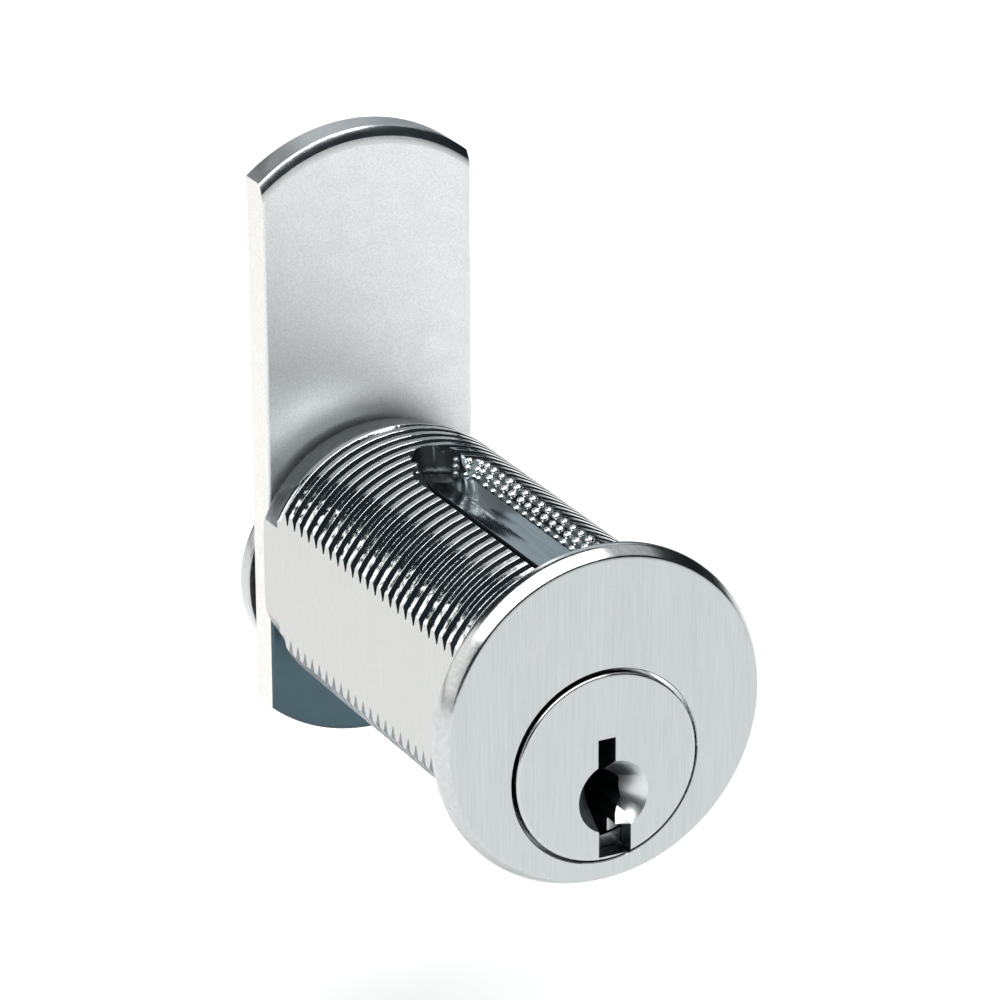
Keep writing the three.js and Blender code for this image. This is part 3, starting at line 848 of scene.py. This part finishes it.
def plug_finish_and_painted_light(centre, normal):
    """The finish that a face's place on the plug calls for, with painted light on the countersink's right
    half and painted shade in the rest of the keyway and on the plug behind its face.
    """
    off_axis = math.hypot(centre.x, centre.z - PLUG_AXIS_Z)
    behind_face = centre.y - PLUG_FACE_Y
    on_rim = off_axis > PLUG_HEAD_RADIUS - 0.26 and centre.y < PLUG_SHOULDER_Y
    in_mouth = off_axis < PLUG_HEAD_RADIUS - 0.3 and 0.02 < behind_face < SINK_DEPTH
    on_cone_right_half = centre.x > SINK_X and abs(normal.y) > 0.3
    on_stem = centre.y > PLUG_BODY_END - 0.1
    if on_rim or on_stem:
        return rim_metal
    # painted light on the countersink's right half, painted shade over the rest of the keyway's mouth
    if in_mouth:
        return countersink_lit_metal if on_cone_right_half else shade_dark_metal
    # painted shade on the plug behind its face
    return shade_dark_metal if behind_face > 0.3 else face_metal


# ---- pins and springs ----

def key_pin(index):
    low, high = node_box(f"key_pin_{index + 1}")
    radius = high.x
    tip_radius, tip = 0.45, 0.8
    profile = rounded([
        (0, low.z, 0),
        (tip_radius, low.z, 0.25),
        (radius, low.z + tip, 0.2),
        (radius, high.z, 0.12),
        (0, high.z, 0),
    ])
    return upright(f"key_pin_{index + 1}_turned", profile, pin_places()[index])


def driver_pin(index):
    low, high = node_box(f"driver_pin_{index + 1}")
    radius = high.x
    waist = radius - 0.3
    middle = (low.z + high.z) / 2
    profile = rounded([
        (0, low.z, 0), (radius, low.z, 0.2), (radius, middle - 0.7, 0.08), (waist, middle - 0.4, 0.08),
        (waist, middle + 0.4, 0.08), (radius, middle + 0.7, 0.08), (radius, high.z, 0.2), (0, high.z, 0),
    ])
    return upright(f"driver_pin_{index + 1}_turned", profile, pin_places()[index])


def tube(name, path, radius, sides=12):
    """A round wire along a list of points, closed at both ends."""
    points = [Vector(p) for p in path]
    vertices = []
    normal = Vector((0, 0, 1))
    for i, point in enumerate(points):
        ahead = (points[min(i + 1, len(points) - 1)] - points[max(i - 1, 0)]).normalized()
        normal = (normal - ahead * normal.dot(ahead)).normalized()
        side = ahead.cross(normal)
        for k in range(sides):
            turn = 2 * math.pi * k / sides
            vertices.append(point + (normal * math.cos(turn) + side * math.sin(turn)) * radius)
    ends = [tuple(range(sides)), tuple(range(len(vertices) - sides, len(vertices)))]
    return mesh_object(name, vertices, ring_faces(len(points), sides) + ends)


def pin_spring(index, turns=5.5, wire=0.13, steps=28):
    """A compression spring whose end coils lie close together."""
    low, high = node_box(f"pin_spring_{index + 1}")
    radius = (high.x - low.x) / 2 - wire
    centre = pin_places()[index]
    bottom, top = low.z + wire, high.z - wire
    closeness = 0.35
    path = []
    for i in range(int(turns * steps) + 1):
        t = i / (turns * steps)
        eased = 0.5 - 0.5 * math.cos(math.pi * t)
        angle = 2 * math.pi * turns * t
        z = bottom + (top - bottom) * (closeness * eased + (1 - closeness) * t)
        path.append((radius * math.cos(angle), centre + radius * math.sin(angle), z))
    return tube(f"pin_spring_{index + 1}_wire", path, wire)


# ---- cam and its fixings ----

# how fully each stretch of the cam's front edge is rolled over
TOP_ROLL = 1.0
SIDE_ROLL = 0.2
BOTTOM_ROLL = 0.25


def cam_outline(steps=36):
    """The cam's edge, anticlockwise from its top right corner: (place, way inward, share of the rolling)."""
    half = cam_high.x
    top_z, bottom_z = cam_high.z - CAM_TOP_RADIUS, cam_low.z + CAM_BOTTOM_RADIUS
    top_corner = top_z + math.sqrt(CAM_TOP_RADIUS ** 2 - half ** 2)
    bottom_corner = bottom_z - math.sqrt(CAM_BOTTOM_RADIUS ** 2 - half ** 2)

    def arc(radius, centre_z, start, inward, roll):
        corner = math.acos(half / radius)
        angles = [start + corner + (math.pi - 2 * corner) * i / steps for i in range(steps + 1)]
        places = [Vector((radius * math.cos(angle), centre_z + radius * math.sin(angle))) for angle in angles]
        return [(place, Vector(inward), roll) for place in places]

    def side(x, start_z, end_z, inward):
        places = [Vector((x, start_z + (end_z - start_z) * i / steps)) for i in range(1, steps)]
        return [(place, Vector(inward), SIDE_ROLL) for place in places]

    return [
        *arc(CAM_TOP_RADIUS, top_z, 0, (0, -1), TOP_ROLL),
        *side(-half, top_corner, bottom_corner, (1, 0)),
        *arc(CAM_BOTTOM_RADIUS, bottom_z, math.pi, (0, 1), BOTTOM_ROLL),
        *side(half, bottom_corner, top_corner, (-1, 0)),
    ]


# how the stamping's front edge rolls over, where it does so fully: (how far in from the edge, how far back)
ROLLED_EDGE = (
    (1.3, 0.0), (1.1, 0.03), (0.92, 0.075), (0.76, 0.13), (0.6, 0.195), (0.44, 0.275),
    (0.28, 0.37), (0.13, 0.475), (0.04, 0.545), (0.0, 0.61), (0.0, 0.67),
)
# the rear edge in the same way: (how far in from the edge, how far forward of the rear face)
CUT_EDGE = ((0.0, 0.2), (0.0, 0.15), (0.05, 0.04), (0.15, 0.0))
# how far back from the face the tumbled finish reaches, where the edge rolls over
FRONT_FINISH_DEPTH = 0.12
CAM_METALS = [cam_metal, cam_front_metal, cam_edge_metal, cam_roll_metal]


def cam():
    outline = cam_outline()
    count = len(outline)
    front, back = cam_low.y, cam_high.y
    vertices = []
    for inset, depth in ROLLED_EDGE:
        for place, inward, roll in outline:
            x, z = place + inward * inset * roll
            vertices.append((x, front + depth * roll, z))
    for inset, depth in CUT_EDGE:
        for place, inward, _ in outline:
            x, z = place + inward * inset
            vertices.append((x, back - depth, z))
    loops = len(ROLLED_EDGE) + len(CUT_EDGE)
    ends = [tuple(range(count)), tuple(range((loops - 1) * count, loops * count))]
    body = mesh_object("cam_stamped", vertices, ends + ring_faces(loops, count))
    return cut(body, slab("square", stem_outline(STEM_CLEARANCE), front - 1, back + 1))


def cam_finish_and_painted_shade(centre, normal):
    """The bar's front, its sheared sides and its rolled top edge have their own finishes; the front's metal
    has painted shade low down.
    """
    to_front = normal.y < -0.1
    near_front = centre.y < cam_low.y + FRONT_FINISH_DEPTH
    on_side = abs(normal.x) > 0.9
    on_top_roll = to_front and normal.z > 0.1
    # the front's metal carries painted shade low down
    if near_front or (to_front and centre.z < 0):
        return cam_front_metal
    if on_side:
        return cam_edge_metal
    return cam_roll_metal if on_top_roll else cam_metal


def lock_washer(teeth=12):
    front, back = washer_low.y, washer_high.y
    outer, root = washer_high.x, washer_high.x - WASHER_TOOTH_LENGTH
    step = 360 / teeth / 4
    outline = []
    for tooth in range(teeth):
        angle = 360 * tooth / teeth
        outline += [around_plug(root, angle), around_plug(root, angle + step)]
        outline += [around_plug(outer, angle + 1.5 * step), around_plug(outer, angle + 2.5 * step)]
        outline += [around_plug(outer, angle + 3.5 * step)]
    body = slab("lock_washer_toothed", outline, front, back)
    return cut(body, plug_axis_rod("hole", WASHER_HOLE_RADIUS, front - 1, back + 1))


def stop_washer():
    front, back = stop_low.y, stop_high.y
    body = plug_axis_rod("stop_washer_lugged", STOP_WASHER_RADIUS, front, back)
    join(body, slab("lug", sector(STOP_LUG_RADIUS, *STOP_LUG_SIDES), front, back))
    return cut(body, slab("square", stem_outline(STEM_CLEARANCE), front - 1, back + 1))


def cam_nut():
    """A hexagon with rounded-off rear corners on a flange, and a stem hole with a chamfered mouth."""
    front, back = nut_low.y, nut_high.y
    flange_radius, flange_back = nut_high.x, front + NUT_FLANGE_THICKNESS
    rim_back = front + NUT_FLANGE_THICKNESS * 0.7
    corner, hole, mouth = NUT_CORNER_RADIUS, NUT_HOLE_RADIUS, NUT_MOUTH_RADIUS
    hexagon = slab("cam_nut_flanged", [around_plug(corner, 60 * i) for i in range(6)], front + 0.2, back)
    crown = [(0, front - 1), (corner + 0.6, front - 1), (corner + 0.6, back - 0.55)]
    crown += [(corner - 0.85, back), (0, back)]
    combine(hexagon, turned("crown", crown, z=PLUG_AXIS_Z), "INTERSECT")
    rim = rounded([
        (0, front, 0), (flange_radius, front, 0.2), (flange_radius, rim_back, 0.25),
        (corner, flange_back, 0), (0, flange_back, 0),
    ])
    join(hexagon, turned("nut_flange", rim, z=PLUG_AXIS_Z))
    tapped = [(0, front - 1), (hole, front - 1), (hole, back - 0.5)]
    tapped += [(mouth, back + 0.25), (mouth, back + 1), (0, back + 1)]
    return cut(hexagon, turned("tapped", tapped, z=PLUG_AXIS_Z))


# ---- pieces ----

finish_piece(
    cylinder_shell(), SHELL_METALS, "lock_body", ["cylinder_shell"],
    smooth_angle=40, choose=shell_finish_and_painted_shade,
)
finish_piece(chamber_cover(), [cover_metal], "lock_body", ["chamber_cover"])
finish_piece(cover_pin(), [fixing_metal], "lock_body", ["cover_pin"])

finish_piece(plug(), PLUG_METALS, "turning_plug", ["plug"], smooth_angle=40, choose=plug_finish_and_painted_light)
finish_piece(stop_washer(), [fixing_metal], "turning_plug", ["stop_washer"])
finish_piece(cam(), CAM_METALS, "turning_plug", ["cam"], smooth_angle=30, choose=cam_finish_and_painted_shade)
finish_piece(lock_washer(), [fixing_metal], "turning_plug", ["lock_washer"])
finish_piece(cam_nut(), [fixing_metal], "turning_plug", ["cam_nut"])


for index in range(PIN_COUNT):
    number = index + 1
    finish_piece(key_pin(index), [brass], f"key_pin_{number}", [f"key_pin_{number}"])
    finish_piece(driver_pin(index), [brass], f"driver_{number}", [f"driver_pin_{number}"])
    node, slide = f"pin_spring_{number}", f"driver_slide_{number}"
    spring = finish_piece(pin_spring(index), [spring_steel], "lock_body", [node], smooth_angle=60)
    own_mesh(spring)


# ---- floor, light and camera: millimetres and degrees, and metres for the lights ----

FLOOR_DROP = 22.0
FLOOR_HALF_WIDTH = 3000.0
CAMERA_AZIMUTH = -26.9956
CAMERA_ELEVATION = 22.1411
CAMERA_ROLL = -0.2972
CAMERA_PLACE = (-177.195, -332.863, 170.054)
CAMERA_LENS = 205.48

DOWN = (0, 0, -1)
UP = (0, 0, 1)
BACKWARD = (0, 1, 0)
FORWARD = (0, -1, 0)
RIGHTWARD = (1, 0, 0)


def floor():
    mesh = bpy.data.meshes.new("floor")
    height, half = cad_low.z - FLOOR_DROP * MM, FLOOR_HALF_WIDTH * MM
    corners = [(-half, -half, height), (half, -half, height), (half, half, height), (-half, half, height)]
    mesh.from_pydata(corners, [], [(0, 1, 2, 3)])
    obj = bpy.data.objects.new("floor", mesh)
    bpy.context.scene.collection.objects.link(obj)
    material = bpy.data.materials.new("pale_floor")
    material.use_nodes = True
    shader = material.node_tree.nodes["Principled BSDF"]
    shader.inputs["Base Color"].default_value = (0.9, 0.9, 0.9, 1)
    shader.inputs["Roughness"].default_value = 0.9
    mesh.materials.append(material)


def softbox(name, middle, facing, up, width, height, radiance, colour=(1, 1, 1)):
    """A rectangular light, measured in metres, that has a given radiance and that the camera doesn't see."""
    lamp = bpy.data.lights.new(name, "AREA")
    lamp.shape = "RECTANGLE"
    lamp.size = width
    lamp.size_y = height
    lamp.energy = radiance * math.pi * width * height
    lamp.color = colour
    obj = bpy.data.objects.new(name, lamp)
    back = -Vector(facing).normalized()
    right = Vector(up).cross(back).normalized()
    above = back.cross(right)
    obj.matrix_world = Matrix.Translation(middle) @ Matrix((right, above, back)).transposed().to_4x4()
    obj.visible_camera = False
    bpy.context.scene.collection.objects.link(obj)


def room():
    """Dim surroundings, for the metal to reflect beside the lights."""
    world = bpy.data.worlds.new("room")
    world.use_nodes = True
    world.node_tree.nodes["Background"].inputs["Color"].default_value = (0.015, 0.021, 0.026, 1)
    bpy.context.scene.world = world


def camera():
    """Looks down at the lock from its left front, through a long lens."""
    azimuth, elevation = math.radians(CAMERA_AZIMUTH), math.radians(CAMERA_ELEVATION)
    level = math.cos(elevation)
    back = Vector((math.sin(azimuth) * level, -math.cos(azimuth) * level, math.sin(elevation)))
    right = Vector((math.cos(azimuth), math.sin(azimuth), 0))
    up = back.cross(right)
    turn = Matrix.Rotation(math.radians(CAMERA_ROLL), 3, back)
    axes = Matrix((turn @ right, turn @ up, back)).transposed().to_4x4()
    data = bpy.data.cameras.new("camera")
    data.sensor_width = 36
    data.lens = CAMERA_LENS
    data.clip_end = 20
    obj = bpy.data.objects.new("camera", data)
    bpy.context.scene.collection.objects.link(obj)
    obj.matrix_world = Matrix.Translation(Vector(CAMERA_PLACE) * MM) @ axes
    bpy.context.scene.camera = obj


floor()
room()
camera()
softbox("ceiling", (-0.375, -0.15, 1.0), DOWN, BACKWARD, width=1.75, height=1.1, radiance=4.6)
softbox("ceiling_right", (0.95, 0.3, 1.0), DOWN, BACKWARD, width=0.7, height=1.2, radiance=0.75)
softbox(
    "left_panel", (-1.0, 0.8, 0.47), RIGHTWARD, UP,
    width=2.0, height=0.86, radiance=1.5, colour=(1, 0.985, 0.96),
)
softbox("back_panel", (0.15, 1.0, 0.74), FORWARD, UP, width=0.2, height=0.36, radiance=2.4)
softbox(
    "back_right_panel", (0.625, 1.0, 0.75), FORWARD, UP,
    width=0.75, height=0.7, radiance=0.95, colour=(0.93, 0.975, 1),
)
softbox("front_panel", (0.45, -1.2, 0.15), BACKWARD, UP, width=1.4, height=0.24, radiance=1.6)

bpy.context.scene.view_settings.view_transform = "Standard"
bpy.context.scene.view_settings.look = "None"
